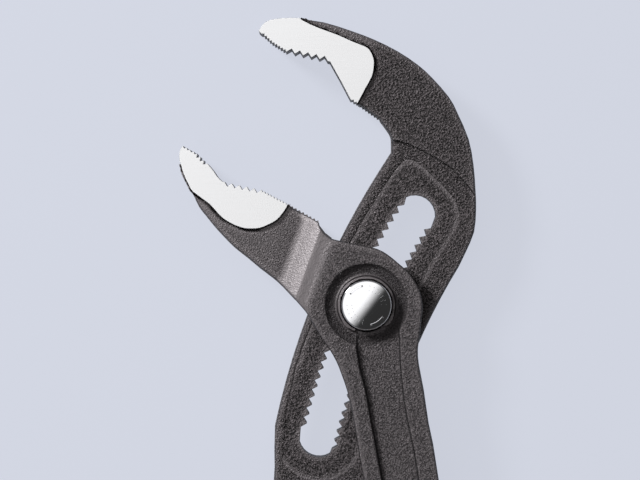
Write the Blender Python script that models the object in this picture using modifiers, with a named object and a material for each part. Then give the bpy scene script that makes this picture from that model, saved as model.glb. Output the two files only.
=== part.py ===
"""Water pump pliers with a push-button joint, lying on their back.

The joint's axis stands on the origin, the back of the joint box lies on z = 0, the jaws point to -X and
+Y and the handles to -Y. The jaws stand open, as on a square bar.
"""

from math import cos, hypot, pi, radians, sin

import bmesh
import bpy

# Plates and gaps through the joint, from back to front, in metres
CHEEK_THICKNESS = 0.0044
RAIL_THICKNESS = 0.0066
WEB_THICKNESS = 0.0056
HEAD_THICKNESS = 0.0086
JAW_THICKNESS = 0.0100
SHANK_THICKNESS = 0.0104
PLATE_GAP = 0.0003
FIT_GAP = 0.0003
MIDDLE = CHEEK_THICKNESS + PLATE_GAP + RAIL_THICKNESS / 2
BOX_THICKNESS = 2 * MIDDLE

# The toothed slot is an arc through the joint's axis, and the slotted lever slides round its centre
SLOT_RADIUS = 0.189
SLOT_HEADING = radians(65)
SLOT_ABOVE = 0.0265
SLOT_BELOW = 0.0365
SLOT_HALF_WIDTH = 0.0053
TOOTH_DEPTH = 0.00135
TOOTH_PITCH = 0.002444
TOOTH_ROOT_SHARE = 0.52
ROW_TEETH = 26
LEFT_ROW_RISE = 0.0007
RIGHT_ROW_DROP = 0.0023

# How far the levers move from the pose shown
CLOSING_TURN = radians(5)
OPENING_TURN = radians(18)
CLOSING_SLIDE = 0.0205

# The plate that slides through the joint box, measured across from the slot's centre line
PLATE_LEFT = 0.0143
PLATE_NARROWING = 0.0024
PLATE_RIGHT = 0.0167
PLATE_END_RADIUS = 0.0166
PLATE_END_SWEEP = radians(78)
POCKET_HALF_WIDTH = 0.0110
POCKET_END_RADIUS = 0.0116
PASSAGE_GAP = 0.0004

# Overall sizes that the outlines follow
HEAD_SPAN = 0.074
JAW_SPAN = 0.052
BOX_SPAN = 0.026

# Depths of the gripping teeth
FINE_TOOTH = 0.0005
NOTCH_TOOTH = 0.0011
COARSE_TOOTH = 0.0009

# Slopes of the forgings, where they change in thickness
NECK_HEADING = radians(160)
NECK_TOP = 0.0165
NECK_LENGTH = 0.0081
SHANK_SLOPE_TOP = 0.0700
SHANK_SLOPE_LENGTH = 0.0120
LEFT_SLOPE_LENGTH = 0.0080
SLOPE_LEAD = 0.0002
FOOT_STEP = 0.00006
SLOPE_STEPS = 6

# Boss round the button, and the channel down the handle
GROOVE_RADIUS = 0.01015
GROOVE_DRAFT = 0.0008
GROOVE_DEPTH = 0.0012
COLLAR_RADIUS = 0.0077
CHANNEL_DEPTH = 0.0014

# Joint bolt, its retaining ring, lock, spring and button
RUNNING_GAP = 0.0002
BOLT_NECK_RADIUS = 0.0042
BOLT_RADIUS = 0.0051
BOLT_PIN_RADIUS = 0.0032
BOLT_FLANGE = 0.0007
BLADE_HALF_WIDTH = 0.0025
RING_THICKNESS = 0.0007
RING_SEAT = 0.0009
RING_WIDTH = 0.0013
RING_GRIP = 0.0005
RING_LUG = 0.0004
RING_LUG_HOLE = 0.0003
RING_OPENING = radians(44)
LUG_SPREAD = radians(24)
LOCK_WIDTH = 0.0009
LOCK_HALF_LENGTH = 0.0019
LOCK_TOOTH = 0.0004
YOKE_THICKNESS = 0.0010
WELL_DEPTH = 0.0030
BUTTON_RADIUS = 0.0065
BUTTON_TRAVEL = 0.0024
BUTTON_RECESS = 0.0013
BUTTON_SKIRT = 0.0017
BUTTON_CROWN = 0.0010
BUTTON_WALL = 0.0009
CROWN_STEPS = 5
SPRING_WIRE_RADIUS = 0.00022
SPRING_TURNS = 2

# Handles and their dipped sleeves
RIGHT_SPLAY = radians(9.4)
RIGHT_RETURN = radians(5)
RIGHT_SHANK = 0.0430
RIGHT_HANDLE = 0.1480
RIGHT_SHANK_HALF_WIDTH = 0.0074
LEFT_DROP = 0.0165
LEFT_SET = 0.0041
LEFT_SPLAY = radians(7.5)
LEFT_RETURN = radians(14)
LEFT_SHANK = 0.0220
LEFT_HANDLE = 0.1180
LEFT_SHANK_HALF_WIDTH = 0.0066
LEFT_WAIST_HALF_WIDTH = 0.0048
TANG_HALF_WIDTH = 0.0052
TANG_INSIDE = 0.0080
TANG_RELIEF = 0.0004
SLEEVE_WALL = 0.0015
SLEEVE_HALF_WIDTH = 0.0080
SLEEVE_END_WALL = 0.0050
SLEEVE_ROUND = 0.0040
TANG_ROUND = 0.0012

# Working values
OVERRUN = 0.0100
FAR = 0.2000
WELD = 0.000002
ROUND_STEPS = 40
HANDLE_STEPS = 10

# Outline points, as shares of HEAD_SPAN, JAW_SPAN and BOX_SPAN, measured from the joint's axis
HEAD_BACK_SHARES = [
    (-0.376, 0.957), (-0.362, 0.980), (-0.337, 0.996), (-0.288, 1.003), (-0.232, 1.003),
    (-0.148, 0.993), (-0.046, 0.961), (0.032, 0.931), (0.112, 0.891), (0.181, 0.845),
    (0.232, 0.799), (0.293, 0.729), (0.323, 0.673), (0.362, 0.581), (0.379, 0.490),
    (0.386, 0.402), (0.388, 0.332), (0.381, 0.255), (0.355, 0.191),
]
HEAD_THROAT_SHARES = [(0.088, 0.534), (0.088, 0.574), (0.081, 0.599), (0.049, 0.643)]
HEAD_CORNER_SHARES = [(-0.053, 0.715), (-0.088, 0.782), (-0.126, 0.850)]
HEAD_NOTCH_SHARES = [(-0.134, 0.852), (-0.278, 0.884)]
HEAD_TIP_SHARES = [(-0.281, 0.884), (-0.330, 0.915), (-0.365, 0.947)]
HEAD_GROUND_SHARES = [
    (-0.246, 1.021), (-0.225, 0.996), (-0.165, 0.968), (-0.097, 0.943), (-0.044, 0.919),
    (-0.007, 0.905), (0.012, 0.891), (0.025, 0.863), (0.027, 0.838), (0.020, 0.799),
    (-0.004, 0.755), (-0.030, 0.706), (-0.060, 0.670),
]
HEAD_STEP_SHARES = [
    (0.010, 0.574), (0.088, 0.574), (0.128, 0.567), (0.172, 0.550), (0.232, 0.518),
    (0.285, 0.487), (0.323, 0.451), (0.362, 0.406), (0.420, 0.330),
]
POCKET_TOP_SHARES = [
    (0.60, 1.00), (0.92, 0.95), (1.02, 0.77), (1.03, 0.50), (0.98, 0.14), (0.93, -0.27),
    (0.80, -0.63), (0.60, -0.86), (0.34, -0.97),
]
JAW_BACK_SHARES = [
    (-0.910, 0.792), (-0.925, 0.773), (-0.930, 0.742), (-0.925, 0.698), (-0.910, 0.643),
    (-0.890, 0.603), (-0.865, 0.552), (-0.835, 0.488), (-0.800, 0.443), (-0.760, 0.393),
    (-0.710, 0.338), (-0.655, 0.283), (-0.590, 0.232), (-0.527, 0.179), (-0.465, 0.132),
    (-0.412, 0.084),
]
JAW_ROOT_SHARES = (-0.444, 0.162)
JAW_FINE_SHARES = [(-0.520, 0.573), (-0.385, 0.503)]
JAW_COARSE_SHARES = [(-0.705, 0.613), (-0.520, 0.573)]
JAW_CORNER_SHARES = [(-0.790, 0.703), (-0.760, 0.667), (-0.740, 0.637), (-0.715, 0.613)]
JAW_TIP_SHARES = [(-0.910, 0.792), (-0.840, 0.753), (-0.790, 0.703)]
JAW_GROUND_SHARES = [
    (-0.960, 0.733), (-0.925, 0.708), (-0.915, 0.672), (-0.900, 0.633), (-0.880, 0.593),
    (-0.860, 0.562), (-0.780, 0.503), (-0.735, 0.453), (-0.700, 0.423), (-0.655, 0.398),
    (-0.610, 0.383), (-0.570, 0.380), (-0.530, 0.383), (-0.490, 0.398), (-0.445, 0.423),
    (-0.415, 0.457), (-0.395, 0.488), (-0.370, 0.540),
]
BOX_LEFT_SHARES = [
    (-0.615, -0.065), (-0.550, -0.170), (-0.445, -0.345), (-0.370, -0.450), (-0.300, -0.575),
    (-0.250, -0.705), (-0.200, -0.850), (-0.150, -1.065), (-0.090, -1.420),
]
BOX_NECK_SHARES = [(-0.477, 0.842), (-0.465, 0.790), (-0.410, 0.719), (-0.340, 0.664)]
BOX_RIGHT_SHARES = [
    (-0.260, 0.645), (-0.060, 0.605), (0.110, 0.565), (0.220, 0.505), (0.330, 0.415),
    (0.430, 0.325), (0.500, 0.225), (0.550, 0.115), (0.570, -0.020), (0.555, -0.150),
    (0.540, -0.300), (0.520, -0.435), (0.530, -0.595), (0.580, -0.855), (0.630, -1.195),
]
HANDLE_LEFT_SHARE = -0.030
HANDLE_RIGHT_SHARE = 0.730
HANDLE_START_SHARE = -1.755
CHANNEL_LEFT_SHARES = [
    (-0.110, -0.240), (-0.060, -0.595), (0.000, -0.825), (0.050, -1.105), (0.130, -1.535), (0.170, -1.755),
]
CHANNEL_RIGHT_SHARES = [
    (0.310, -0.200), (0.320, -0.335), (0.325, -0.545), (0.350, -0.825), (0.390, -1.105),
    (0.465, -1.455), (0.510, -1.755),
]


def collection(name):
    """A new collection linked to the scene."""
    group = bpy.data.collections.new(name)
    bpy.context.scene.collection.children.link(group)
    return group


def paint(name, colour, roughness, metallic):
    """A Principled BSDF material in one finish."""
    finish = bpy.data.materials.new(name)
    finish.use_nodes = True
    shader = finish.node_tree.nodes["Principled BSDF"]
    shader.inputs["Base Color"].default_value = (*colour, 1)
    shader.inputs["Roughness"].default_value = roughness
    shader.inputs["Metallic"].default_value = metallic
    return finish


def as_mesh(shape, group):
    """The evaluated shape as a welded mesh object in the same place; the first object is removed."""
    bpy.context.view_layer.update()
    mesh = bpy.data.meshes.new_from_object(shape.evaluated_get(bpy.context.evaluated_depsgraph_get()))
    work = bmesh.new()
    work.from_mesh(mesh)
    bmesh.ops.remove_doubles(work, verts=work.verts, dist=WELD)
    bmesh.ops.recalc_face_normals(work, faces=work.faces)
    work.to_mesh(mesh)
    work.free()
    name, place = shape.name, shape.matrix_world.copy()
    bpy.data.objects.remove(shape)
    solid = bpy.data.objects.new(name, mesh)
    solid.matrix_world = place
    group.objects.link(solid)
    return solid


def prism(name, edge, low, high, group, holes=()):
    """A flat outline, with any holes, raised between two heights."""
    curve = bpy.data.curves.new(name, "CURVE")
    curve.dimensions = "2D"
    curve.fill_mode = "BOTH"
    curve.extrude = (high - low) / 2
    for points in (edge, *holes):
        spline = curve.splines.new("POLY")
        spline.points.add(len(points) - 1)
        for place, (x, y) in zip(spline.points, points):
            place.co = (x, y, 0, 1)
        spline.use_cyclic_u = True
    shape = bpy.data.objects.new(name, curve)
    shape.location.z = (low + high) / 2
    group.objects.link(shape)
    return as_mesh(shape, group)


def turned(name, profile, group):
    """A solid turned about the joint's axis, from (radius, height) pairs that run down its outer side."""
    mesh = bpy.data.meshes.new(name)
    edges = [(n, n + 1) for n in range(len(profile) - 1)]
    if profile[0][0]:
        edges.append((len(profile) - 1, 0))
    mesh.from_pydata([(radius, 0, height) for radius, height in profile], edges, [])
    shape = bpy.data.objects.new(name, mesh)
    group.objects.link(shape)
    turn = shape.modifiers.new("turn", "SCREW")
    turn.axis = "Z"
    turn.steps = turn.render_steps = ROUND_STEPS
    turn.use_merge_vertices = True
    turn.merge_threshold = WELD
    return as_mesh(shape, group)


def combine(target, operation, tools):
    """Live Booleans of tools with a target."""
    for tool in tools:
        change = target.modifiers.new(tool.name, "BOOLEAN")
        change.operation = operation
        change.object = tool
        tool.hide_render = True
        tool.display_type = "WIRE"


def cut(target, *tools):
    combine(target, "DIFFERENCE", tools)


def join(target, *tools):
    combine(target, "UNION", tools)


def round_edges(shape, width, segments):
    """Rounds the sharp edges of a shape."""
    soften = shape.modifiers.new("rounded edges", "BEVEL")
    soften.width = width
    soften.segments = segments
    soften.limit_method = "ANGLE"
    soften.angle_limit = radians(60)


def scaled(shares, span):
    """Outline points from shares of a span."""
    return [(x * span, y * span) for x, y in shares]


def jaw_points(shares):
    """Outline points of the lower jaw, which grows from the foot of the neck's slope."""
    foot = NECK_TOP + NECK_LENGTH
    root_x, root_y = JAW_ROOT_SHARES
    return [
        (
            foot * cos(NECK_HEADING) + (x - root_x) * JAW_SPAN,
            foot * sin(NECK_HEADING) + (y - root_y) * JAW_SPAN,
        )
        for x, y in shares
    ]


def smooth(points, steps=2):
    """Points on a smooth curve through the given ones."""
    ends = [points[0], *points, points[-1]]
    curve = []
    for before, start, end, after in zip(ends, ends[1:], ends[2:], ends[3:]):
        for step in range(steps):
            t = step / steps
            place = []
            for a, b, c, d in zip(before, start, end, after):
                bend = t * t * (a - 2.5 * b + 2 * c - d / 2) + t**3 * (1.5 * (b - c) + (d - a) / 2)
                place.append(b + t / 2 * (c - a) + bend)
            curve.append(tuple(place))
    return [*curve, points[-1]]


def teeth(ends, count, depth):
    """A straight edge with pointed notches on the right of its direction, without its last point."""
    (x, y), (last_x, last_y) = ends
    run, rise = (last_x - x) / count, (last_y - y) / count
    length = hypot(run, rise)
    edge = []
    for tooth in range(count):
        edge.append((x, y))
        edge.append((x + run / 2 + rise / length * depth, y + rise / 2 - run / length * depth))
        x, y = x + run, y + rise
    return edge


def slot_point(along, left, turn=0.0):
    """A point by its distance up the slot's centre line and its offset to the left, turned about the axis."""
    start = pi / 2 + SLOT_HEADING
    bearing = start - along / SLOT_RADIUS
    x = (SLOT_RADIUS + left) * cos(bearing) - SLOT_RADIUS * cos(start)
    y = (SLOT_RADIUS + left) * sin(bearing) - SLOT_RADIUS * sin(start)
    return (x * cos(turn) - y * sin(turn), x * sin(turn) + y * cos(turn))


def slot_run(first, last, left, steps, turn=0.0, narrowing=0.0):
    """Points along the plate at one offset, which may narrow evenly towards the end of the run."""
    return [
        slot_point(first + (last - first) * n / steps, left - narrowing * n / steps, turn)
        for n in range(steps + 1)
    ]


def slot_arc(along, radius, first, last, steps, turn=0.0):
    """An arc round a point of the slot's centre line, between two angles from its heading."""
    x, y = slot_point(along, 0, turn)
    start = SLOT_HEADING - along / SLOT_RADIUS + turn
    return [
        (
            x + radius * cos(start + first + (last - first) * n / steps),
            y + radius * sin(start + first + (last - first) * n / steps),
        )
        for n in range(steps + 1)
    ]


def crossing(first, second):
    """Where the lines through two pairs of points cross."""
    (ax, ay), (bx, by) = first
    (cx, cy), (dx, dy) = second
    across = (bx - ax) * (dy - cy) - (by - ay) * (dx - cx)
    share = ((cx - ax) * (dy - cy) - (cy - ay) * (dx - cx)) / across
    return (ax + (bx - ax) * share, ay + (by - ay) * share)


def both_faces(name, edge, half_thickness, group):
    """Two cutters that take off what lies beyond a half thickness, at the front and at the back."""
    front = prism(name + "_front", edge, MIDDLE + half_thickness, MIDDLE + half_thickness + OVERRUN, group)
    back = prism(name + "_back", edge, MIDDLE - half_thickness - OVERRUN, MIDDLE - half_thickness, group)
    return front, back


def slope_cutters(name, heading, top, foot, halves, group):
    """Cutters for a forging slope, front and back, across a heading from the joint's axis.

    The half thicknesses are those above the slope, at its foot and beyond its foot. Where the last two
    differ, another cut takes the forging down to its thickness from just above the foot.
    """
    thick, thin, beyond = halves
    side = [(top, thick + OVERRUN)]
    rise = thick + SLOPE_LEAD
    last = thin if beyond == thin else thin + FOOT_STEP
    for step in range(SLOPE_STEPS + 1):
        t = step / SLOPE_STEPS
        side.append((top + (foot - top) * t, rise + (last - rise) * (1 - cos(pi * t)) / 2))
    if beyond != thin:
        side.append((foot, beyond))
    side += [(FAR, beyond), (FAR, thick + OVERRUN)]
    found = []
    for face in (1, -1):
        cutter = prism(name + ("_front" if face > 0 else "_back"), side, -FAR / 2, FAR / 2, group)
        for corner in cutter.data.vertices:
            run, rise, width = corner.co
            corner.co = (
                run * cos(heading) - width * sin(heading),
                run * sin(heading) + width * cos(heading),
                MIDDLE + face * rise,
            )
        work = bmesh.new()
        work.from_mesh(cutter.data)
        bmesh.ops.recalc_face_normals(work, faces=work.faces)
        work.to_mesh(cutter.data)
        work.free()
        found.append(cutter)
    return found


def handle_point(handle, distance, right=0.0):
    """A point at a distance down a handle's bent centre line and to the right of it, and its bearing."""
    (x, y), bearing, bend = handle
    there = bearing + bend * distance
    x += (sin(there) - sin(bearing)) / bend
    y -= (cos(there) - cos(bearing)) / bend
    return (x - right * sin(there), y + right * cos(there)), there


def strap(handle, first, last, half_width):
    """Outline of a strap along a handle, with a square start and a round end."""
    places = [first + (last - first) * n / HANDLE_STEPS for n in range(HANDLE_STEPS + 1)]
    right = [handle_point(handle, place, half_width)[0] for place in places]
    left = [handle_point(handle, place, -half_width)[0] for place in places]
    (x, y), bearing = handle_point(handle, last)
    turns = [pi / 2 - pi * n / HANDLE_STEPS for n in range(1, HANDLE_STEPS)]
    end = [(x + half_width * cos(bearing + turn), y + half_width * sin(bearing + turn)) for turn in turns]
    return [*right, *end, *reversed(left)]


for thing in list(bpy.data.objects):
    bpy.data.objects.remove(thing)

PARTS = collection("water_pump_pliers")
TOOLS = collection("cutters")
FORGED = paint("phosphated_forging", (0.085, 0.075, 0.08), 0.5, 0.6)
STEEL = paint("bright_steel", (0.6, 0.6, 0.62), 0.35, 1.0)
CHROME = paint("chrome", (0.8, 0.8, 0.82), 0.12, 1.0)
SPRING_STEEL = paint("spring_steel", (0.3, 0.3, 0.32), 0.35, 1.0)
DIPPED = paint("dipped_plastic", (0.45, 0.03, 0.03), 0.45, 0.0)

RIGHT_START = (
    (HANDLE_LEFT_SHARE + HANDLE_RIGHT_SHARE) / 2 * BOX_SPAN,
    HANDLE_START_SHARE * BOX_SPAN,
)
RIGHT_LINE = (RIGHT_START, RIGHT_SPLAY - pi / 2, -RIGHT_RETURN / RIGHT_HANDLE)
LEFT_LINE = (
    slot_point(-SLOT_BELOW - LEFT_DROP, LEFT_SET),
    -pi / 2 - LEFT_SPLAY,
    LEFT_RETURN / LEFT_HANDLE,
)


def slot_edge():
    """Outline of the slot, with a row of V teeth down each side."""
    root, tip = SLOT_HALF_WIDTH, SLOT_HALF_WIDTH - TOOTH_DEPTH
    fall = TOOTH_ROOT_SHARE * TOOTH_PITCH
    edge = slot_arc(SLOT_ABOVE, root, -pi / 3, pi / 3, 8)
    for tooth in range(ROW_TEETH):
        along = SLOT_ABOVE + LEFT_ROW_RISE - tooth * TOOTH_PITCH
        edge += [slot_point(along, tip), slot_point(along - fall, root)]
    edge += slot_arc(-SLOT_BELOW, root, 2 * pi / 3, 5 * pi / 4, 8)
    for tooth in range(ROW_TEETH + 1):
        along = -SLOT_BELOW - RIGHT_ROW_DROP + tooth * TOOTH_PITCH
        edge += [slot_point(along, -tip), slot_point(along + fall, -root)]
    return edge


def make_slotted_lever():
    """The lever of the upper jaw: head, sliding plate with its toothed slot, and shank."""
    shank = [handle_point(LEFT_LINE, LEFT_SHANK, side * LEFT_SHANK_HALF_WIDTH)[0] for side in (1, -1)]
    waist = [handle_point(LEFT_LINE, 0, side * LEFT_WAIST_HALF_WIDTH)[0] for side in (1, -1)]
    plate_top = SLOT_ABOVE + POCKET_HALF_WIDTH / 2
    edge = smooth(scaled(HEAD_BACK_SHARES, HEAD_SPAN))
    edge += slot_run(SLOT_ABOVE, -SLOT_BELOW, -PLATE_RIGHT, 12)[1:]
    edge += slot_arc(-SLOT_BELOW, PLATE_END_RADIUS, -pi / 2, -pi / 2 - PLATE_END_SWEEP, 8)[1:]
    edge += [waist[0], shank[0], shank[1]]
    edge += smooth(
        [
            shank[1],
            waist[1],
            slot_point(-SLOT_BELOW - LEFT_DROP / 3, PLATE_LEFT - 1.5 * PLATE_NARROWING),
            slot_point(-SLOT_BELOW, PLATE_LEFT - PLATE_NARROWING),
        ]
    )[1:-1]
    edge += reversed(slot_run(plate_top, -SLOT_BELOW, PLATE_LEFT, 12, narrowing=PLATE_NARROWING))
    edge += smooth(scaled(HEAD_THROAT_SHARES, HEAD_SPAN))[:-1]
    edge += teeth(scaled([HEAD_THROAT_SHARES[-1], HEAD_CORNER_SHARES[0]], HEAD_SPAN), 10, FINE_TOOTH)
    edge += scaled(HEAD_CORNER_SHARES, HEAD_SPAN)
    edge += teeth(scaled(HEAD_NOTCH_SHARES, HEAD_SPAN), 5, NOTCH_TOOTH)
    edge += teeth(scaled(HEAD_TIP_SHARES[:2], HEAD_SPAN), 5, FINE_TOOTH)
    edge += teeth(scaled(HEAD_TIP_SHARES[1:], HEAD_SPAN), 4, FINE_TOOTH)
    edge += scaled(HEAD_TIP_SHARES[2:], HEAD_SPAN)

    half = SHANK_THICKNESS / 2
    lever = prism("slotted_lever", edge, MIDDLE - half, MIDDLE + half, PARTS)
    foot = slot_point(-SLOT_BELOW, 0)[1] - PLATE_END_RADIUS
    halves = (half, RAIL_THICKNESS / 2, JAW_THICKNESS / 2)
    cut(lever, *slope_cutters("shank_rise", pi / 2, foot - LEFT_SLOPE_LENGTH, foot, halves, TOOLS))

    step = scaled(HEAD_STEP_SHARES, HEAD_SPAN)
    ground = smooth(scaled(HEAD_GROUND_SHARES, HEAD_SPAN))
    forging = [*ground, (ground[-1][0], 0), (FAR / 2, 0), (FAR / 2, ground[0][1])]
    cut(lever, *both_faces("head_forging", forging, HEAD_THICKNESS / 2, TOOLS))
    low = foot - SLOPE_LEAD
    plate = [(-FAR / 2, step[0][1]), *smooth(step), (FAR / 2, step[-1][1]), (FAR / 2, low), (-FAR / 2, low)]
    cut(lever, *both_faces("plate_rails", plate, RAIL_THICKNESS / 2, TOOLS))

    pocket = slot_run(-SLOT_BELOW, SLOT_ABOVE, POCKET_HALF_WIDTH, 8)
    top = [
        slot_point(SLOT_ABOVE + along * POCKET_HALF_WIDTH, across * POCKET_HALF_WIDTH)
        for along, across in POCKET_TOP_SHARES
    ]
    pocket += smooth(top)
    pocket += slot_run(SLOT_ABOVE, -SLOT_BELOW, -POCKET_HALF_WIDTH, 8)
    pocket += slot_arc(-SLOT_BELOW, POCKET_END_RADIUS, -pi / 2, -3 * pi / 2, 14)[1:-1]
    cut(lever, *both_faces("web_pocket", pocket, WEB_THICKNESS / 2, TOOLS))
    cut(lever, prism("toothed_slot", slot_edge(), MIDDLE - OVERRUN, MIDDLE + OVERRUN, TOOLS))
    return lever


def passage_edge():
    """Outline of the gap between the cheeks: all that the plate sweeps as it turns and slides there."""
    left, right = PLATE_LEFT + PASSAGE_GAP, -PLATE_RIGHT - PASSAGE_GAP
    reach, depth = 2 * BOX_SPAN, SLOT_BELOW + CLOSING_SLIDE
    up_left = slot_run(0, reach, left, 8, CLOSING_TURN)
    up_right = slot_run(0, reach, right, 8, -OPENING_TURN)
    down_right = slot_run(0, -depth, right, 12, CLOSING_TURN)
    down_left = slot_run(0, -reach, left, 8, -OPENING_TURN)
    edge = [crossing(up_left[:2], down_left[:2]), *up_left[1:], *reversed(up_right[1:])]
    edge += [crossing(up_right[:2], down_right[:2]), *down_right[1:]]
    end = PLATE_END_RADIUS + PASSAGE_GAP
    edge += slot_arc(-depth, end, -pi / 2, -pi / 2 - 2 * PLATE_END_SWEEP, 14, CLOSING_TURN)
    edge += reversed(down_left[1:])
    return edge


def groove_cutter(name, face):
    """The ring groove round the collar, on the front or the back face."""
    deep, high = MIDDLE - GROOVE_DEPTH, MIDDLE + OVERRUN
    profile = [
        (GROOVE_RADIUS, high),
        (GROOVE_RADIUS, MIDDLE),
        (GROOVE_RADIUS - GROOVE_DRAFT, deep),
        (COLLAR_RADIUS, deep),
        (COLLAR_RADIUS, high),
    ]
    return turned(name, [(radius, MIDDLE + face * height) for radius, height in profile], TOOLS)


def disc(name, radius, low, high, group):
    """A plain round cutter or boss on the joint's axis."""
    return turned(name, [(0, high), (radius, high), (radius, low), (0, low)], group)


def make_button_lever():
    """The lever of the lower jaw: jaw, neck, joint box with its two cheeks, and shank."""
    shank_right, shank_left = (
        handle_point(RIGHT_LINE, RIGHT_SHANK, side * RIGHT_SHANK_HALF_WIDTH)[0] for side in (1, -1)
    )
    start = HANDLE_START_SHARE
    fine = jaw_points(JAW_FINE_SHARES)
    neck = scaled(BOX_NECK_SHARES, BOX_SPAN)
    edge = teeth(jaw_points(JAW_TIP_SHARES[:2]), 4, FINE_TOOTH)
    edge += teeth(jaw_points(JAW_TIP_SHARES[1:]), 3, COARSE_TOOTH)
    edge += smooth(jaw_points(JAW_CORNER_SHARES))
    edge += teeth(jaw_points(JAW_COARSE_SHARES), 5, NOTCH_TOOTH)
    edge += teeth(fine, 9, FINE_TOOTH)
    edge += teeth([fine[-1], neck[0]], 8, FINE_TOOTH)
    edge += neck
    edge += smooth(
        [*scaled([*BOX_RIGHT_SHARES, (HANDLE_RIGHT_SHARE, start)], BOX_SPAN), shank_right]
    )
    edge += smooth(
        [
            shank_left,
            *scaled([(HANDLE_LEFT_SHARE, start), *reversed(BOX_LEFT_SHARES)], BOX_SPAN),
            *jaw_points(reversed(JAW_BACK_SHARES)),
        ]
    )[:-1]
    lever = prism("button_lever", edge, 0, BOX_THICKNESS, PARTS)

    jaw, forging, shank = JAW_THICKNESS / 2, HEAD_THICKNESS / 2, SHANK_THICKNESS / 2
    foot = NECK_TOP + NECK_LENGTH
    cut(lever, *slope_cutters("neck_slope", NECK_HEADING, NECK_TOP, foot, (MIDDLE, forging, jaw), TOOLS))
    low = SHANK_SLOPE_TOP + SHANK_SLOPE_LENGTH
    heading = RIGHT_SPLAY - pi / 2
    cut(lever, *slope_cutters("shank_slope", heading, SHANK_SLOPE_TOP, low, (MIDDLE, shank, shank), TOOLS))

    ground = smooth(jaw_points(JAW_GROUND_SHARES))
    run, rise = cos(NECK_HEADING), sin(NECK_HEADING)
    start, above, below = foot - SLOPE_LEAD, BOX_SPAN, -BOX_SPAN
    forged = [
        *ground,
        (start * run + above * rise, start * rise - above * run),
        (start * run + below * rise, start * rise - below * run),
        (ground[0][0], below),
    ]
    cut(lever, *both_faces("jaw_forging", forged, forging, TOOLS))

    cut(lever, groove_cutter("groove_front", 1), groove_cutter("groove_back", -1))
    channel = smooth(scaled(CHANNEL_LEFT_SHARES, BOX_SPAN))
    end = handle_point(RIGHT_LINE, RIGHT_SHANK)[0]
    channel += [(end[0], end[1] - OVERRUN)]
    channel += reversed(smooth(scaled(CHANNEL_RIGHT_SHARES, BOX_SPAN)))
    cut(lever, *both_faces("channel", channel, MIDDLE - CHANNEL_DEPTH, TOOLS))

    cut(lever, prism("passage", passage_edge(), CHEEK_THICKNESS, BOX_THICKNESS - CHEEK_THICKNESS, TOOLS))
    floor = BOX_THICKNESS - WELL_DEPTH
    high = BOX_THICKNESS + OVERRUN
    cut(lever, disc("button_well", BUTTON_RADIUS + RUNNING_GAP, floor, high, TOOLS))
    cut(lever, disc("front_bore", BOLT_NECK_RADIUS + RUNNING_GAP, MIDDLE, high, TOOLS))
    bore = BOLT_RADIUS + RUNNING_GAP
    cut(lever, disc("back_bore", bore, -OVERRUN, MIDDLE, TOOLS))
    seat = RING_SEAT - FIT_GAP
    ring_top = RING_SEAT + RING_THICKNESS + FIT_GAP
    cut(lever, disc("ring_groove", bore + RING_GRIP, seat, ring_top, TOOLS))
    return lever


def across_slot(outline):
    """Points given along and across the slot's heading at the joint's axis."""
    run, rise = cos(SLOT_HEADING), sin(SLOT_HEADING)
    return [(along * run - left * rise, along * rise + left * run) for along, left in outline]


FLANGE_LOW = RING_SEAT + RING_THICKNESS + FIT_GAP
FLANGE_HIGH = FLANGE_LOW + BOLT_FLANGE
BOLT_TOP = BOX_THICKNESS - WELL_DEPTH
BUTTON_BASE = BOLT_TOP + FIT_GAP + BUTTON_TRAVEL
BUTTON_CEILING = BUTTON_BASE + BUTTON_RECESS


def make_joint_bolt():
    """The bolt: a blade in the slot between a flanged journal at the back and a neck at the front."""
    shoulder = BOX_THICKNESS - CHEEK_THICKNESS - FIT_GAP
    profile = [
        (0, BOLT_TOP),
        (BOLT_NECK_RADIUS, BOLT_TOP),
        (BOLT_NECK_RADIUS, shoulder),
        (BOLT_RADIUS, shoulder),
        (BOLT_RADIUS, FLANGE_LOW),
        (BOLT_PIN_RADIUS, FLANGE_LOW),
        (BOLT_PIN_RADIUS, 0),
        (0, 0),
    ]
    bolt = turned("joint_bolt", profile, PARTS)
    for side in (1, -1):
        inner, outer = side * BLADE_HALF_WIDTH, side * 2 * BOLT_RADIUS
        flat = [(-outer, inner), (outer, inner), (outer, outer), (-outer, outer)]
        cut(bolt, prism("flat", across_slot(flat), FLANGE_HIGH, BOLT_TOP + OVERRUN, TOOLS))
    return bolt


def make_locking_slide():
    """The lock: a yoke under the button with a toothed leg down each side of the blade."""
    high = BUTTON_CEILING - FIT_GAP
    slide = disc("locking_slide", BOLT_NECK_RADIUS, high - YOKE_THICKNESS, high, PARTS)
    foot = FLANGE_HIGH + FIT_GAP + BUTTON_TRAVEL
    inner = BLADE_HALF_WIDTH + FIT_GAP
    root, tip = inner + LOCK_WIDTH - LOCK_TOOTH, inner + LOCK_WIDTH
    length, tooth = LOCK_HALF_LENGTH, TOOTH_PITCH / 2
    for side in (1, -1):
        leg = [(-length, inner), (length, inner), (length, root), (tooth, root), (0, tip), (-tooth, root)]
        leg = across_slot([(along, side * left) for along, left in [*leg, (-length, root)]])
        join(slide, prism("leg", leg, foot, high - YOKE_THICKNESS / 2, TOOLS))
    return slide


def make_button():
    """The domed push button, hollow underneath for its spring."""
    brim = BUTTON_BASE + BUTTON_SKIRT
    profile = []
    for step in range(CROWN_STEPS + 1):
        share = step / CROWN_STEPS
        profile.append((BUTTON_RADIUS * share, brim + BUTTON_CROWN * (1 - share * share)))
    inner = BUTTON_RADIUS - BUTTON_WALL
    profile += [
        (BUTTON_RADIUS, BUTTON_BASE),
        (inner, BUTTON_BASE),
        (inner, BUTTON_CEILING),
        (0, BUTTON_CEILING),
    ]
    return turned("push_button", profile, PARTS)


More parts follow.
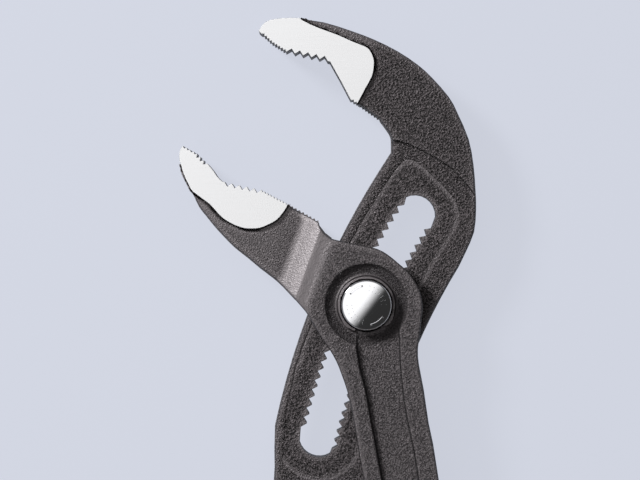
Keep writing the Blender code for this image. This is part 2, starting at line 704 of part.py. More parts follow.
def make_spring():
    """The button's coil spring, between the floor of the well and the button's ceiling."""
    radius = (BOLT_NECK_RADIUS + BUTTON_RADIUS - BUTTON_WALL) / 2
    low = BOLT_TOP + FIT_GAP + SPRING_WIRE_RADIUS
    rise = BUTTON_CEILING - FIT_GAP - SPRING_WIRE_RADIUS - low
    curve = bpy.data.curves.new("button_spring", "CURVE")
    curve.dimensions = "3D"
    curve.bevel_depth = SPRING_WIRE_RADIUS
    curve.bevel_resolution = 1
    curve.use_fill_caps = True
    spline = curve.splines.new("POLY")
    count = 12 * SPRING_TURNS
    spline.points.add(count)
    for place, point in enumerate(spline.points):
        turn = 2 * pi * place / 12
        point.co = (radius * cos(turn), radius * sin(turn), low + rise * place / count, 1)
    shape = bpy.data.objects.new("button_spring", curve)
    PARTS.objects.link(shape)
    return as_mesh(shape, PARTS)


def make_retaining_ring():
    """The open spring ring in the back bore, with a holed lug at each end."""
    outer = BOLT_RADIUS + RING_GRIP
    inner = outer - RING_WIDTH
    half = RING_OPENING / 2

    def arc(radius, first, last, steps):
        angles = [first + (last - first) * n / steps for n in range(steps + 1)]
        return [(radius * cos(angle), radius * sin(angle)) for angle in angles]

    edge = arc(outer, half, 2 * pi - half, 24)
    edge += arc(inner - RING_LUG, 2 * pi - half, 2 * pi - half - LUG_SPREAD, 3)
    edge += arc(inner, 2 * pi - half - LUG_SPREAD, half + LUG_SPREAD, 20)
    edge += arc(inner - RING_LUG, half + LUG_SPREAD, half, 3)
    holes = []
    middle = (outer + inner - RING_LUG) / 2
    for angle in (half + LUG_SPREAD / 2, -half - LUG_SPREAD / 2):
        x, y = middle * cos(angle), middle * sin(angle)
        holes.append([(x + px, y + py) for px, py in arc(RING_LUG_HOLE, 0, 2 * pi, 8)[:-1]])
    return prism("retaining_ring", edge, RING_SEAT, RING_SEAT + RING_THICKNESS, PARTS, holes)


def fit_handle(lever, handle, shank, length, sleeve_name):
    """Gives a lever its tang, and makes the sleeve that is dipped over it."""
    last = length - SLEEVE_END_WALL - FIT_GAP - TANG_HALF_WIDTH
    half = SHANK_THICKNESS / 2 - TANG_RELIEF
    tang = prism(
        sleeve_name + "_tang",
        strap(handle, shank - TANG_INSIDE, last, TANG_HALF_WIDTH),
        MIDDLE - half,
        MIDDLE + half,
        TOOLS,
    )
    round_edges(tang, TANG_ROUND, 1)
    join(lever, tang)

    half += FIT_GAP
    mouth = shank + FIT_GAP
    wall = half + SLEEVE_WALL
    body = strap(handle, mouth - 2 * SLEEVE_ROUND, length - SLEEVE_HALF_WIDTH, SLEEVE_HALF_WIDTH)
    sleeve = prism(sleeve_name, body, MIDDLE - wall, MIDDLE + wall, PARTS)
    round_edges(sleeve, SLEEVE_ROUND, 3)
    hollow = strap(handle, mouth - OVERRUN, last, TANG_HALF_WIDTH + FIT_GAP)
    cavity = prism(sleeve_name + "_cavity", hollow, MIDDLE - half, MIDDLE + half, TOOLS)
    round_edges(cavity, TANG_ROUND, 1)
    rim = [
        handle_point(handle, place, side * 2 * SLEEVE_HALF_WIDTH)[0]
        for place, side in ((mouth, 1), (mouth, -1), (mouth - 2 * OVERRUN, -1), (mouth - 2 * OVERRUN, 1))
    ]
    cut(sleeve, cavity, prism(sleeve_name + "_mouth", rim, -OVERRUN, BOX_THICKNESS + OVERRUN, TOOLS))
    return sleeve


def finish(shape, material):
    """One material and smooth shading between the sharp edges."""
    shape.data.materials.clear()
    shape.data.materials.append(material)
    shape.data.shade_smooth()
    shape.data.set_sharp_from_angle(angle=radians(30))


slotted_lever = make_slotted_lever()
button_lever = make_button_lever()
slotted_sleeve = fit_handle(slotted_lever, LEFT_LINE, LEFT_SHANK, LEFT_HANDLE, "slotted_lever_grip")
button_sleeve = fit_handle(button_lever, RIGHT_LINE, RIGHT_SHANK, RIGHT_HANDLE, "button_lever_grip")
for shape in (slotted_lever, button_lever):
    finish(shape, FORGED)
for shape in (slotted_sleeve, button_sleeve):
    finish(shape, DIPPED)
finish(make_joint_bolt(), STEEL)
finish(make_locking_slide(), STEEL)
finish(make_retaining_ring(), SPRING_STEEL)
finish(make_spring(), SPRING_STEEL)
finish(make_button(), CHROME)
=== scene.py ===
"""Water pump pliers with a push-button joint, on a pale surface under soft studio light."""

import math

import bmesh
import bpy
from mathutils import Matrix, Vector


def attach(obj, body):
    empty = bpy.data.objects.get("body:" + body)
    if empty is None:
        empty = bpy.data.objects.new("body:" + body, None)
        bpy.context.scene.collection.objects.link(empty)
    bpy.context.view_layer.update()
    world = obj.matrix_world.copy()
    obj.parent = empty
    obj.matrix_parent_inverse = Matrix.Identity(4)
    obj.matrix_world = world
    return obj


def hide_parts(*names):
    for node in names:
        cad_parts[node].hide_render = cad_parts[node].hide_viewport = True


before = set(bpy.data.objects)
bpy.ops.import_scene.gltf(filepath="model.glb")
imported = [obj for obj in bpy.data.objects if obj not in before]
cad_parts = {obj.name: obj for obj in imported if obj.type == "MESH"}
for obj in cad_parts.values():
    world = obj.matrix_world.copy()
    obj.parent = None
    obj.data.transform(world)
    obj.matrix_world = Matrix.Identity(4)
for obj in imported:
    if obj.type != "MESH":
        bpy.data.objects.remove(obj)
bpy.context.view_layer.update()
bpy.ops.object.select_all(action="DESELECT")

# Slotted lever
# One drop forging from the upper jaw to the end of its tang, phosphated dark grey. Its head is as thick as
# the jaws, and a thinner plate with a toothed slot slides through the other lever's joint box.
JOINT_MIDDLE = 0.008
GROUND_HEIGHT = 0.013
SHANK_HEIGHT = 0.0132
WEB_HEIGHT = 0.0108
SLOT_RADIUS = 0.189
SLOT_HEADING = math.radians(65)
CLEARANCE_MIDDLE = -0.005
CLEARANCE_LENGTH = 0.075
CLEARANCE_WIDTH = 0.0124
SLOTTED_TANG_CUT = (-0.036, -0.078, 0)
SLOTTED_TANG_FACING = (-0.13, -0.99, 0)
CUT_LENGTH = 0.03
WELD_DISTANCE = 0.000003
SAME_HEIGHT = 0.00005
PAD_ROOM = 0.00005
STEP_DEPTH = 0.0012
STEP_WIDTH = 0.00055
STEP_VOXEL = 0.00025
LAND_HALF_HEIGHT = 0.0007
LAND_EDGE = 0.00010
GROUND_EDGE = 0.00012
SHARP_ANGLE = math.radians(35)
TALL_WALL = 0.0013
EDGE_ROUND = 0.0009
STEP_ROUND_SHARE = 0.4
FORGING_VOXEL = 0.00030
FORGING_TRIANGLES = 190000
CRUMB_FACES = 100
SKIN_SHRINK = 0.00022
SKIN_PASSES = 5


def take_copy(node, name):
    """A welded copy of a CAD node's mesh, as a piece of its own."""
    bpy.ops.object.select_all(action="DESELECT")
    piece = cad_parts[node].copy()
    piece.data = piece.data.copy()
    for key in list(piece.keys()):
        del piece[key]
    piece.parent = None
    piece.name = piece.data.name = name
    bpy.context.collection.objects.link(piece)
    bpy.context.view_layer.objects.active = piece
    piece.select_set(True)
    piece.data.materials.clear()
    bpy.ops.mesh.customdata_custom_splitnormals_clear()
    bpy.ops.object.mode_set(mode="EDIT")
    bpy.ops.mesh.select_all(action="SELECT")
    bpy.ops.mesh.remove_doubles(threshold=WELD_DISTANCE)
    bpy.ops.object.mode_set(mode="OBJECT")
    return piece


def change(piece, kind, **settings):
    """Adds a modifier to a piece and applies it."""
    bpy.context.view_layer.objects.active = piece
    modifier = piece.modifiers.new(kind.lower(), kind)
    for name, value in settings.items():
        setattr(modifier, name, value)
    bpy.ops.object.modifier_apply(modifier=modifier.name)


def trim(piece, point, normal):
    """Cuts away what lies beyond a plane and closes the cut."""
    bpy.ops.object.select_all(action="DESELECT")
    bpy.context.view_layer.objects.active = piece
    piece.select_set(True)
    bpy.ops.object.mode_set(mode="EDIT")
    bpy.ops.mesh.select_all(action="SELECT")
    bpy.ops.mesh.bisect(plane_co=point, plane_no=normal, use_fill=True, clear_outer=True)
    bpy.ops.object.mode_set(mode="OBJECT")


def weigh_edges(piece):
    """Marks how far each sharp edge is rounded: fully at a tall wall's rim, less anywhere else."""
    solid = bmesh.new()
    solid.from_mesh(piece.data)
    weights = solid.edges.layers.float.new("bevel_weight_edge")
    for edge in solid.edges:
        if edge.calc_face_angle(0) > SHARP_ANGLE:
            walls = [face for face in edge.link_faces if abs(face.normal.z) < 0.5]
            heights = [corner.co.z for wall in walls for corner in wall.verts]
            tall = heights and max(heights) - min(heights) > TALL_WALL
            level = abs(edge.verts[0].co.z - edge.verts[1].co.z) < 2 * SAME_HEIGHT
            edge[weights] = 1.0 if tall and level and edge.is_convex else STEP_ROUND_SHARE
    solid.to_mesh(piece.data)
    solid.free()


def drop_crumbs(piece):
    """Deletes the loose crumbs that rounding and cutting leave."""
    solid = bmesh.new()
    solid.from_mesh(piece.data)
    unseen = set(solid.faces)
    crumbs = []
    while unseen:
        island = [unseen.pop()]
        for face in island:
            for edge in face.edges:
                for other in edge.link_faces:
                    if other in unseen:
                        unseen.remove(other)
                        island.append(other)
        if len(island) < CRUMB_FACES:
            crumbs += island
    bmesh.ops.delete(solid, geom=crumbs, context="FACES")
    solid.to_mesh(piece.data)
    solid.free()


def soften(piece):
    """Gives a forging its rounded edges and soft hollows."""
    bpy.ops.object.select_all(action="DESELECT")
    bpy.context.view_layer.objects.active = piece
    piece.select_set(True)
    bpy.ops.object.mode_set(mode="EDIT")
    bpy.ops.mesh.select_all(action="SELECT")
    bpy.ops.mesh.dissolve_limited(angle_limit=math.radians(0.5))
    bpy.ops.object.mode_set(mode="OBJECT")
    weigh_edges(piece)
    change(piece, "BEVEL", width=EDGE_ROUND, segments=3, limit_method="WEIGHT", use_clamp_overlap=False)
    change(piece, "REMESH", mode="VOXEL", voxel_size=FORGING_VOXEL, adaptivity=0)
    change(piece, "DISPLACE", strength=-SKIN_SHRINK, mid_level=0)
    change(piece, "SMOOTH", factor=0.5, iterations=SKIN_PASSES)
    change(piece, "TRIANGULATE")
    share = FORGING_TRIANGLES / len(piece.data.polygons)
    if share < 1:
        change(piece, "DECIMATE", ratio=share)
    drop_crumbs(piece)
    bpy.ops.object.shade_smooth()


def cut_out(piece, cutter):
    """Cuts a piece with another, which is used up."""
    change(piece, "BOOLEAN", operation="DIFFERENCE", solver="EXACT", object=cutter)
    bpy.data.objects.remove(cutter)


def slot_place(along, left):
    """A point by its distance up the slot's curved centre line and its offset to the left."""
    start = math.pi / 2 + SLOT_HEADING
    bearing = start - along / SLOT_RADIUS
    return (
        (SLOT_RADIUS + left) * math.cos(bearing) - SLOT_RADIUS * math.cos(start),
        (SLOT_RADIUS + left) * math.sin(bearing) - SLOT_RADIUS * math.sin(start),
    )


def keep_level(piece, height, beyond=None):
    """Keeps only the faces that lie flat at one height, and left of a line across if one is given."""
    bpy.ops.object.mode_set(mode="EDIT")
    bpy.ops.mesh.select_mode(type="FACE")
    bpy.ops.mesh.select_all(action="DESELECT")
    bpy.ops.object.mode_set(mode="OBJECT")
    for face in piece.data.polygons:
        level = face.normal.z > 0.99 and abs(face.center.z - height) < SAME_HEIGHT
        face.select = not (level and (beyond is None or face.center.x < beyond))
    bpy.ops.object.mode_set(mode="EDIT")
    bpy.ops.mesh.delete(type="FACE")
    bpy.ops.mesh.select_all(action="SELECT")
    bpy.ops.mesh.dissolve_limited(angle_limit=math.radians(0.5))
    bpy.ops.object.mode_set(mode="OBJECT")


def crisp_edges(piece, width):
    """Breaks a machined piece's sharp edges and shades it."""
    change(piece, "BEVEL", width=width, segments=2, limit_method="ANGLE", angle_limit=SHARP_ANGLE)
    bpy.ops.object.select_all(action="DESELECT")
    piece.select_set(True)
    bpy.context.view_layer.objects.active = piece
    bpy.ops.object.shade_smooth_by_angle(angle=math.radians(40))
    change(piece, "WEIGHTED_NORMAL", keep_sharp=True)


def duplicate(piece, name):
    """A second copy of a piece, with its own mesh."""
    bpy.ops.object.select_all(action="DESELECT")
    twin = piece.copy()
    twin.data = piece.data.copy()
    twin.name = twin.data.name = name
    bpy.context.collection.objects.link(twin)
    bpy.context.view_layer.objects.active = twin
    twin.select_set(True)
    return twin


def clear_pad(piece, pad):
    """Cuts a piece clear of the ground part of a jaw, right through."""
    column = duplicate(pad, "ground_column")
    change(column, "SOLIDIFY", thickness=CUT_LENGTH, offset=0)
    change(column, "DISPLACE", strength=PAD_ROOM, mid_level=0)
    cut_out(piece, column)


def relieve_jaw(forging, pad):
    """Takes the forging away where a jaw is ground, with a shallow step round it on both sides."""
    clear_pad(forging, pad)
    for drop in (0, 2 * (GROUND_HEIGHT - JOINT_MIDDLE)):
        step = duplicate(pad, "ground_step")
        for corner in step.data.vertices:
            corner.co.z -= drop
        change(step, "SOLIDIFY", thickness=2 * STEP_DEPTH, offset=0)
        change(step, "REMESH", mode="VOXEL", voxel_size=STEP_VOXEL)
        change(step, "DISPLACE", strength=STEP_WIDTH, mid_level=0)
        cut_out(forging, step)


def parting_land(forging, name):
    """The crisp land that trimming the flash leaves round a forging, at the middle of its thickness."""
    land = duplicate(forging, name)
    trim(land, (0, 0, JOINT_MIDDLE + LAND_HALF_HEIGHT), (0, 0, 1))
    trim(land, (0, 0, JOINT_MIDDLE - LAND_HALF_HEIGHT), (0, 0, -1))
    return land


slotted_forging = take_copy("slotted_lever", "slotted_lever_forging")
trim(slotted_forging, SLOTTED_TANG_CUT, SLOTTED_TANG_FACING)
bpy.ops.object.select_all(action="DESELECT")
bpy.ops.mesh.primitive_cube_add(size=1)
clearance = bpy.context.active_object
bpy.ops.object.mode_set(mode="EDIT")
bpy.ops.mesh.subdivide(number_cuts=14)
bpy.ops.object.mode_set(mode="OBJECT")
for corner in clearance.data.vertices:
    along, left, rise = corner.co
    x, y = slot_place(CLEARANCE_MIDDLE + along * CLEARANCE_LENGTH, left * CLEARANCE_WIDTH)
    corner.co = (x, y, JOINT_MIDDLE + rise * CUT_LENGTH)
cut_out(slotted_forging, clearance)
slotted_land = parting_land(slotted_forging, "slotted_lever_land")
crisp_edges(slotted_land, LAND_EDGE)

upper_ground = take_copy("slotted_lever", "upper_jaw_ground")
keep_level(upper_ground, GROUND_HEIGHT)
relieve_jaw(slotted_forging, upper_ground)
clear_pad(slotted_land, upper_ground)
drop_crumbs(slotted_land)
change(upper_ground, "SOLIDIFY", thickness=2 * (GROUND_HEIGHT - JOINT_MIDDLE), offset=-1)
crisp_edges(upper_ground, GROUND_EDGE)
soften(slotted_forging)
trim(slotted_forging, (0, 0, SHANK_HEIGHT), (0, 0, 1))
trim(slotted_forging, (0, 0, 2 * JOINT_MIDDLE - SHANK_HEIGHT), (0, 0, -1))

toothed_web = take_copy("slotted_lever", "toothed_web")
keep_level(toothed_web, WEB_HEIGHT)
change(toothed_web, "SOLIDIFY", thickness=2 * (WEB_HEIGHT - JOINT_MIDDLE), offset=-1)
crisp_edges(toothed_web, GROUND_EDGE)

# Button lever
# The other forging, from the lower jaw through the joint box to its tang. A groove rings the button's
# collar, and a shallow channel runs from it down the handle.
CHEEK_HEIGHT = 0.0160
BUTTON_TANG_CUT = (0.02, -0.098, 0)
BUTTON_TANG_FACING = (0.16, -0.98, 0)
GROOVE_MIDDLE = 0.00905
GROOVE_HALF_WIDTH = 0.0015
GROOVE_HEIGHT = 0.01625
JAW_END = -0.015
button_forging = take_copy("button_lever", "button_lever_forging")
trim(button_forging, BUTTON_TANG_CUT, BUTTON_TANG_FACING)
button_land = parting_land(button_forging, "button_lever_land")
crisp_edges(button_land, LAND_EDGE)
for height in (GROOVE_HEIGHT, 2 * JOINT_MIDDLE - GROOVE_HEIGHT):
    bpy.ops.object.select_all(action="DESELECT")
    bpy.ops.mesh.primitive_torus_add(
        major_segments=96,
        minor_segments=20,
        major_radius=GROOVE_MIDDLE,
        minor_radius=GROOVE_HALF_WIDTH,
        location=(0, 0, height),
    )
    cut_out(button_forging, bpy.context.active_object)

lower_ground = take_copy("button_lever", "lower_jaw_ground")
keep_level(lower_ground, GROUND_HEIGHT, beyond=JAW_END)
relieve_jaw(button_forging, lower_ground)
clear_pad(button_land, lower_ground)
change(lower_ground, "SOLIDIFY", thickness=2 * (GROUND_HEIGHT - JOINT_MIDDLE), offset=-1)
crisp_edges(lower_ground, GROUND_EDGE)
soften(button_forging)

# The neck falls from the cheek to the jaw in straight stretches, which are eased here into one soft curve.
NECK_HEADING = math.radians(160)
NECK_FALL = (
    (0.0150, CHEEK_HEIGHT),
    (0.0170, CHEEK_HEIGHT),
    (0.0190, 0.0153),
    (0.0210, 0.0140),
    (0.0230, 0.01275),
    (0.0250, 0.0123),
    (0.0262, 0.0123),
)
CURVE_START = 0.0164
CURVE_LENGTH = 0.0092
CURVE_DROP = 0.0037
FACE_RISE = 0.0035
for corner in button_forging.data.vertices:
    run = corner.co.x * math.cos(NECK_HEADING) + corner.co.y * math.sin(NECK_HEADING)
    rise = corner.co.z - JOINT_MIDDLE
    if NECK_FALL[0][0] < run < NECK_FALL[-1][0] and abs(rise) > FACE_RISE:
        for near, far in zip(NECK_FALL, NECK_FALL[1:]):
            if near[0] <= run <= far[0]:
                straight = near[1] + (far[1] - near[1]) * (run - near[0]) / (far[0] - near[0])
        share = min(max((run - CURVE_START) / CURVE_LENGTH, 0), 1)
        share = share * share * (3 - 2 * share)
        corner.co.z += math.copysign(CHEEK_HEIGHT - CURVE_DROP * share - straight, rise)

# Both forgings are phosphated black over a grainy skin, worn grey on the neck and at the edges. Their
# walls and hollows are painted black as painted shade; on the button lever the collar's groove is painted
# near black as painted shade too, and the neck and jaw end paler as painted light. The jaws' flat sides
# are ground bright after that.
NECK_TOP = (0.0120, 0.0165)
NECK_SLOPE = (0.0175, 0.0215)
NECK_FOOT = (0.0215, 0.0252)
JAW_START = (0.0235, 0.0270)
GROOVE_INSIDE = (0.0076, 0.0084)
GROOVE_OUTSIDE = (0.0098, 0.0110)
HOLLOW_SHADE_REACH = 0.0024
EDGE_REACH = 0.0022
# Painted shade: this black goes on steep walls and in hollows.
PAINTED_SHADE_BLACK = (0.006, 0.005, 0.006, 1)
# Painted shade: this near black fills the groove round the button's collar.
GROOVE_PAINTED_SHADE = (0.022, 0.018, 0.020, 1)
WORN_GREY = (0.120, 0.107, 0.112, 1)
# Painted light: this paler grey is a painted highlight on the neck's slope and painted light on the jaw
# end.
PAINTED_LIGHT_GREY = (0.190, 0.172, 0.179, 1)


class Value:
    """A value in a finish's node tree. Python's operators on it add Math nodes."""

    def __init__(self, tree, socket):
        self.tree = tree
        self.socket = socket

    def node(self, kind, settings, sockets, output=0):
        """Adds any other node from its type, its settings and the values or links of its sockets."""
        made = self.tree.nodes.new("ShaderNode" + kind)
        for name, value in settings.items():
            setattr(made, name, value)
        for name, value in sockets.items():
            if isinstance(value, Value):
                self.tree.links.new(value.socket, made.inputs[name])
            else:
                made.inputs[name].default_value = value
        return Value(self.tree, made.outputs[output]) if made.outputs else None

    def maths(self, operation, first, second=0.0):
        """Adds a Math node."""
        return self.node("Math", {"operation": operation}, {0: first, 1: second})

    def __add__(self, other):
        return self.maths("ADD", self, other)

    def __sub__(self, other):
        return self.maths("SUBTRACT", self, other)

    def __rsub__(self, other):
        return self.maths("SUBTRACT", other, self)

    def __mul__(self, other):
        return self.maths("MULTIPLY", self, other)

    __radd__ = __add__
    __rmul__ = __mul__

    def step(self, low, high):
        """Rises smoothly from 0 to 1 between two values."""
        return self.node(
            "MapRange",
            {"interpolation_type": "SMOOTHSTEP"},
            {"Value": self, "From Min": low, "From Max": high},
        )

    def noise(self, scale, detail=2.0, roughness=0.5):
        """Noise on this place, with grains of one over scale."""
        return self.node(
            "TexNoise", {}, {"Vector": self, "Scale": scale, "Detail": detail, "Roughness": roughness}
        )

    def blend(self, low, high):
        """A colour between two, by this share."""
        return self.node("Mix", {"data_type": "RGBA"}, {0: self, 6: low, 7: high}, 2)


def new_finish(name):
    """A material with an empty node tree, and the Object coordinates in it."""
    finish = bpy.data.materials.new(name)
    finish.use_nodes = True
    finish.node_tree.nodes.clear()
    coordinates = finish.node_tree.nodes.new("ShaderNodeTexCoord")
    return finish, Value(finish.node_tree, coordinates.outputs["Object"])


def set_surface(place, shader):
    """Makes a shader the surface of a finish."""
    place.node("OutputMaterial", {}, {"Surface": shader})


def part_of(vector, which):
    """One part of a vector: 0 for x, 1 for y, 2 for z."""
    return vector.node("SeparateXYZ", {}, {"Vector": vector}, which)


def phosphate(name, pit, ridge, grain_size, grain_depth, neck_share):
    """Phosphated drop-forged steel: black pits between paler ridges, with smooth edges and neck."""
    finish, place = new_finish(name)
    up_neck = part_of(place, 0) * math.cos(NECK_HEADING) + part_of(place, 1) * math.sin(NECK_HEADING)
    neck = up_neck.step(*NECK_TOP) * (1 - up_neck.step(*NECK_FOOT)) * neck_share
    steep = up_neck.step(*NECK_SLOPE)
    # Painted light: the forging is painted paler towards the jaw end.
    jaw = up_neck.step(*JAW_START) * neck_share
    facing = Value(place.tree, place.socket.node.outputs["Normal"])
    level = part_of(facing, 2)
    # Painted shade: steep walls, turned away from the lamp, are painted black.
    side_shade = 1 - level.maths("ABSOLUTE", level).step(0.35, 0.90)
    nearby = {"only_local": True, "samples": 8}
    # Painted shade: hollows, found by occlusion within reach, are painted black.
    open_air = place.node("AmbientOcclusion", nearby, {"Distance": HOLLOW_SHADE_REACH}, 1)
    hollow_shade = 1 - open_air.step(0.30, 0.95)
    thick = place.node("AmbientOcclusion", nearby | {"inside": True}, {"Distance": EDGE_REACH}, 1)
    edge = 1 - thick.step(0.62, 0.97)
    flat = place.node("VectorMath", {"operation": "MULTIPLY"}, {0: place, 1: (1, 1, 0)})
    radius = flat.node("VectorMath", {"operation": "LENGTH"}, {0: flat}, 1)
    # Painted shade: the groove round the button's collar is painted near black.
    groove = radius.step(*GROOVE_INSIDE) * (1 - radius.step(*GROOVE_OUTSIDE)) * neck_share * 0.75
    grain = place.noise(1 / grain_size, 2.0, 0.6)
    patch = place.noise(160, 3.0, 0.6)
    smooth = (neck + edge * 0.9).step(0, 1)
    tone = grain.step(0.38, 0.64) * 0.8 + patch * 0.2
    skin = tone.blend(pit, ridge)
    skin = smooth.blend(skin, WORN_GREY)
    # Painted light: paler grey on the jaw end, and as a painted highlight on the neck, less on its
    # steepest slope.
    skin = (jaw * 0.45).blend(skin, PAINTED_LIGHT_GREY)
    skin = (neck * (0.8 + patch * 0.4) * (1 - steep * 0.5)).blend(skin, PAINTED_LIGHT_GREY)
    skin = groove.blend(skin, GROOVE_PAINTED_SHADE)
    # Painted shade last, over everything: black in the hollows and on the steep walls.
    skin = hollow_shade.blend(skin, PAINTED_SHADE_BLACK)
    skin = side_shade.blend(skin, PAINTED_SHADE_BLACK)
    peel = grain * (1 - smooth * 0.85)
    bump = place.node("Bump", {}, {"Strength": 1.0, "Distance": grain_depth, "Height": peel})
    set_surface(place, place.node(
        "BsdfPrincipled",
        {},
        {"Base Color": skin, "Roughness": 0.50 - tone * 0.12, "Metallic": 0.3, "Normal": bump},
    ))
    return finish


coarse_finish = phosphate(
    "coarse_phosphate", (0.006, 0.005, 0.005, 1), (0.205, 0.181, 0.190, 1), 0.00050, 0.00220, 0
)
fine_finish = phosphate(
    "fine_phosphate", (0.030, 0.026, 0.028, 1), (0.165, 0.147, 0.154, 1), 0.00042, 0.00085, 1
)

ground_finish, place = new_finish("ground_steel")
GRINDING_HEADING = math.radians(62)
lines = place.node(
    "Mapping", {}, {"Vector": place, "Rotation": (0, 0, GRINDING_HEADING), "Scale": (60, 5200, 1)}
)
scratch = lines.noise(1.0, 2.0, 0.6)
bump = place.node("Bump", {}, {"Strength": 0.12, "Distance": 0.00004, "Height": scratch})
set_surface(place, place.node(
    "BsdfPrincipled",
    {},
    {
        "Base Color": scratch.blend((0.76, 0.76, 0.77, 1), (0.82, 0.82, 0.83, 1)),
        "Roughness": scratch * 0.1 + 0.45,
        "Metallic": 0.1,
        "Normal": bump,
    },
))

for piece, lever in (
    (slotted_forging, "slotted_lever"),
    (slotted_land, "slotted_lever"),
    (toothed_web, "slotted_lever"),
    (upper_ground, "slotted_lever"),
    (button_forging, "button_lever"),
    (button_land, "button_lever"),
    (lower_ground, "button_lever"),
):
    piece.data.materials.clear()
    piece.data.materials.append(coarse_finish if lever == "slotted_lever" else fine_finish)
    if "ground" in piece.name:
        piece.data.materials.append(ground_finish)
        for face in piece.data.polygons:
            face.material_index = int(abs(face.normal.z) > 0.9)
    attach(piece, lever)
    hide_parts(lever)

# Joint bolt, lock, spring and ring
# A turned and milled bolt carries both levers. An open spring ring holds it in at the back, and the lock's
# yoke and coil spring sit under the button.
steel_finish, place = new_finish("turned_steel")
turning = place.noise(2600, 2.0, 0.5)
set_surface(place, place.node(
    "BsdfPrincipled",
    {},
    {"Base Color": (0.55, 0.55, 0.57, 1), "Roughness": turning * 0.2 + 0.25, "Metallic": 1.0},
))
for name in ("joint_bolt", "locking_slide", "retaining_ring", "button_spring"):
    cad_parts[name].data.materials.clear()
    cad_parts[name].data.materials.append(steel_finish)

# Push button
# A pressed steel cap with a low dome, polished and chromed. Two raised arcs and short raised ticks ring
# the dome for grip.
BUTTON_RADIUS = 0.0065
BUTTON_BASE = 0.0157
BUTTON_BRIM = 0.0174
BUTTON_CROWN = 0.0010
DOME_RINGS = 14
BAR_HEIGHT = 0.00022
TICK_HEIGHT = 0.00018
TICK_SPACING = 13
TICK_HALF_WIDTH = 1.6
BAR_TAPER = 0.3


def dome(radius):
    """The height of the cap's dome at a distance from its middle."""
    return BUTTON_BRIM + BUTTON_CROWN * (1 - (radius / BUTTON_RADIUS) ** 2)


bpy.ops.object.select_all(action="DESELECT")
bpy.ops.mesh.primitive_cylinder_add(
    vertices=96,
    radius=BUTTON_RADIUS,
    depth=BUTTON_BRIM - BUTTON_BASE,
    location=(0, 0, (BUTTON_BRIM + BUTTON_BASE) / 2),
)
cap = bpy.context.active_object
cap.name = "push_button_cap"
bpy.ops.object.transform_apply(location=True)
bpy.ops.object.mode_set(mode="EDIT")
bpy.ops.mesh.select_mode(type="FACE")
bpy.ops.mesh.select_all(action="DESELECT")
bpy.ops.object.mode_set(mode="OBJECT")
for face in cap.data.polygons:
    face.select = face.normal.z > 0.99
bpy.ops.object.mode_set(mode="EDIT")
rings = [1 - ring / DOME_RINGS for ring in range(DOME_RINGS)]
for outer, inner in zip(rings, rings[1:]):
    bpy.ops.mesh.inset(thickness=(outer - inner) * BUTTON_RADIUS)
    rise = dome(inner * BUTTON_RADIUS) - dome(outer * BUTTON_RADIUS)
    bpy.ops.transform.translate(value=(0, 0, rise))
bpy.ops.object.mode_set(mode="OBJECT")
change(cap, "BEVEL", width=0.0004, segments=4, limit_method="ANGLE", angle_limit=math.radians(50))


def raised_bar(first, last, inner, outer, height):
    """A bar raised on the dome, between two angles and two radii."""
    bpy.ops.object.select_all(action="DESELECT")
    bpy.ops.mesh.primitive_cube_add(size=1)
    bar = bpy.context.active_object
    bpy.ops.object.mode_set(mode="EDIT")
    bpy.ops.mesh.subdivide(number_cuts=8)
    bpy.ops.object.mode_set(mode="OBJECT")
    for corner in bar.data.vertices:
        along, across, rise = corner.co
        taper = 1 - BAR_TAPER * (rise + 0.5)
        angle = math.radians((first + last) / 2 + (last - first) * along * taper)
        radius = (inner + outer) / 2 + (outer - inner) * across * taper
        corner.co = (radius * math.cos(angle), radius * math.sin(angle), dome(radius) + rise * 2 * height)
    return bar


bars = [
    raised_bar(97, 150, 0.0048, 0.0053, BAR_HEIGHT),
    raised_bar(-84, -31, 0.0049, 0.0055, BAR_HEIGHT),
]
for start, turn in ((80, -1), (180, 1)):
    for tick in range(7):
        middle = start + turn * tick * TICK_SPACING
        bars.append(
            raised_bar(middle - TICK_HALF_WIDTH, middle + TICK_HALF_WIDTH, 0.0036, 0.0052, TICK_HEIGHT)
        )
bpy.ops.object.select_all(action="DESELECT")
for bar in bars:
    bar.select_set(True)
cap.select_set(True)
bpy.context.view_layer.objects.active = cap
bpy.ops.object.join()
bpy.ops.object.shade_smooth_by_angle(angle=math.radians(35))

chrome_finish, place = new_finish("chrome_plate")
set_surface(place, place.node(
    "BsdfPrincipled",
    {},
    {"Base Color": (0.88, 0.88, 0.90, 1), "Roughness": 0.07 + place.noise(900) * 0.04, "Metallic": 1.0},
))
cap.data.materials.append(chrome_finish)
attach(cap, "push_button")
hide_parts("push_button")

# Grips
# Each tang is dipped in soft plastic, which sets as a thick sleeve with a rounded end and a faint pebbled
# skin.
SLEEVE_VOXEL = 0.0005
SLEEVE_PASSES = 6
dipped_finish, place = new_finish("dipped_plastic")
pebble = place.noise(1500, 2.0, 0.5)
bump = place.node("Bump", {}, {"Strength": 0.25, "Distance": 0.0001, "Height": pebble})
set_surface(place, place.node(
    "BsdfPrincipled",
    {},
    {
        "Base Color": place.noise(60, 2.0).blend((0.40, 0.022, 0.022, 1), (0.50, 0.035, 0.03, 1)),
        "Roughness": pebble * 0.15 + 0.35,
        "Normal": bump,
    },
))
for lever in ("slotted_lever", "button_lever"):
    sleeve = take_copy(lever + "_grip", lever + "_grip_sleeve")
    change(sleeve, "REMESH", mode="VOXEL", voxel_size=SLEEVE_VOXEL, adaptivity=0)
    change(sleeve, "SMOOTH", factor=0.5, iterations=SLEEVE_PASSES)
    bpy.ops.object.shade_smooth()
    sleeve.data.materials.append(dipped_finish)
    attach(sleeve, lever)
    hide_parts(lever + "_grip")

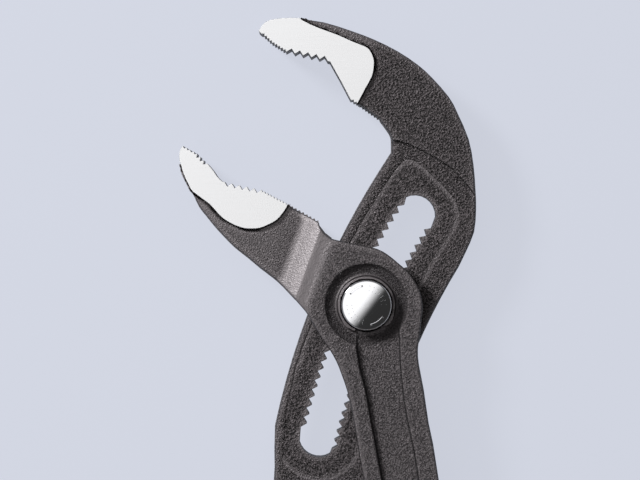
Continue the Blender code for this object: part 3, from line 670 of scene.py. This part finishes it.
# Studio
# The tool lies on a pale sheet, lit by one soft lamp and a bright patch of sky from the upper left, and is
# seen from straight above.
BACKGROUND = (0.644, 0.672, 0.761, 1)
FLOOR_GAP = 0.0002
SHEET_WIDTH = 3
LAMP_PLACE = (-0.60, 0.49, 0.46)
LAMP_WIDTH = 0.22
LAMP_POWER = 9.9
UPPER_LEFT = (-0.79, 0.61, 0.06)
CAMERA_PLACE = (-0.01196, 0.01677, 0.634)
bpy.ops.object.select_all(action="DESELECT")
bpy.ops.mesh.primitive_plane_add(size=SHEET_WIDTH, location=(0, 0, -FLOOR_GAP))
floor = bpy.context.active_object
floor.name = "floor"
floor_finish, place = new_finish("pale_sheet")
sheet = place.node("BsdfPrincipled", {}, {"Base Color": BACKGROUND, "Roughness": 0.8})
glow = place.node("Emission", {}, {"Color": BACKGROUND, "Strength": 1.0})
seen = (
    place.node("LightPath", {}, {}, "Is Camera Ray")
    + place.node("LightPath", {}, {}, "Is Glossy Ray")
    + place.node("LightPath", {}, {}, "Is Transmission Ray")
)
set_surface(place, place.node("MixShader", {}, {0: seen * 0.9, 1: sheet, 2: glow}))
floor.data.materials.append(floor_finish)

world = bpy.data.worlds.new("studio")
bpy.context.scene.world = world
world.use_nodes = True
world.node_tree.nodes.clear()
direction = Value(world.node_tree, world.node_tree.nodes.new("ShaderNodeTexCoord").outputs["Generated"])
height = part_of(direction, 2)
leftward = direction.node("VectorMath", {"operation": "DOT_PRODUCT"}, {0: direction, 1: UPPER_LEFT}, 1)
bright = leftward.step(-0.14, 0.18) * height.step(0.50, 0.90)
low = 1 - height.step(0.15, 0.75)
light = bright * 1.15 + low * 0.13 + 0.03
shown = direction.node("LightPath", {}, {}, "Is Camera Ray")
colour = shown.blend((1, 1, 1, 1), BACKGROUND)
sky = direction.node("Background", {}, {"Color": colour, "Strength": light * (1 - shown) + shown})
direction.node("OutputWorld", {}, {"Surface": sky})

bpy.ops.object.light_add(type="AREA", location=LAMP_PLACE)
key = bpy.context.active_object
key.name = "softbox"
key.data.shape = "DISK"
key.data.size = LAMP_WIDTH
key.data.energy = LAMP_POWER
key.rotation_euler = Vector(LAMP_PLACE).to_track_quat("Z", "Y").to_euler()

bpy.ops.object.camera_add(location=CAMERA_PLACE, rotation=(0, 0, 0))
camera = bpy.context.active_object
camera.data.lens = 135
camera.data.sensor_width = 36
camera.data.clip_start = 0.01
bpy.context.scene.camera = camera
bpy.context.scene.view_settings.view_transform = "Standard"
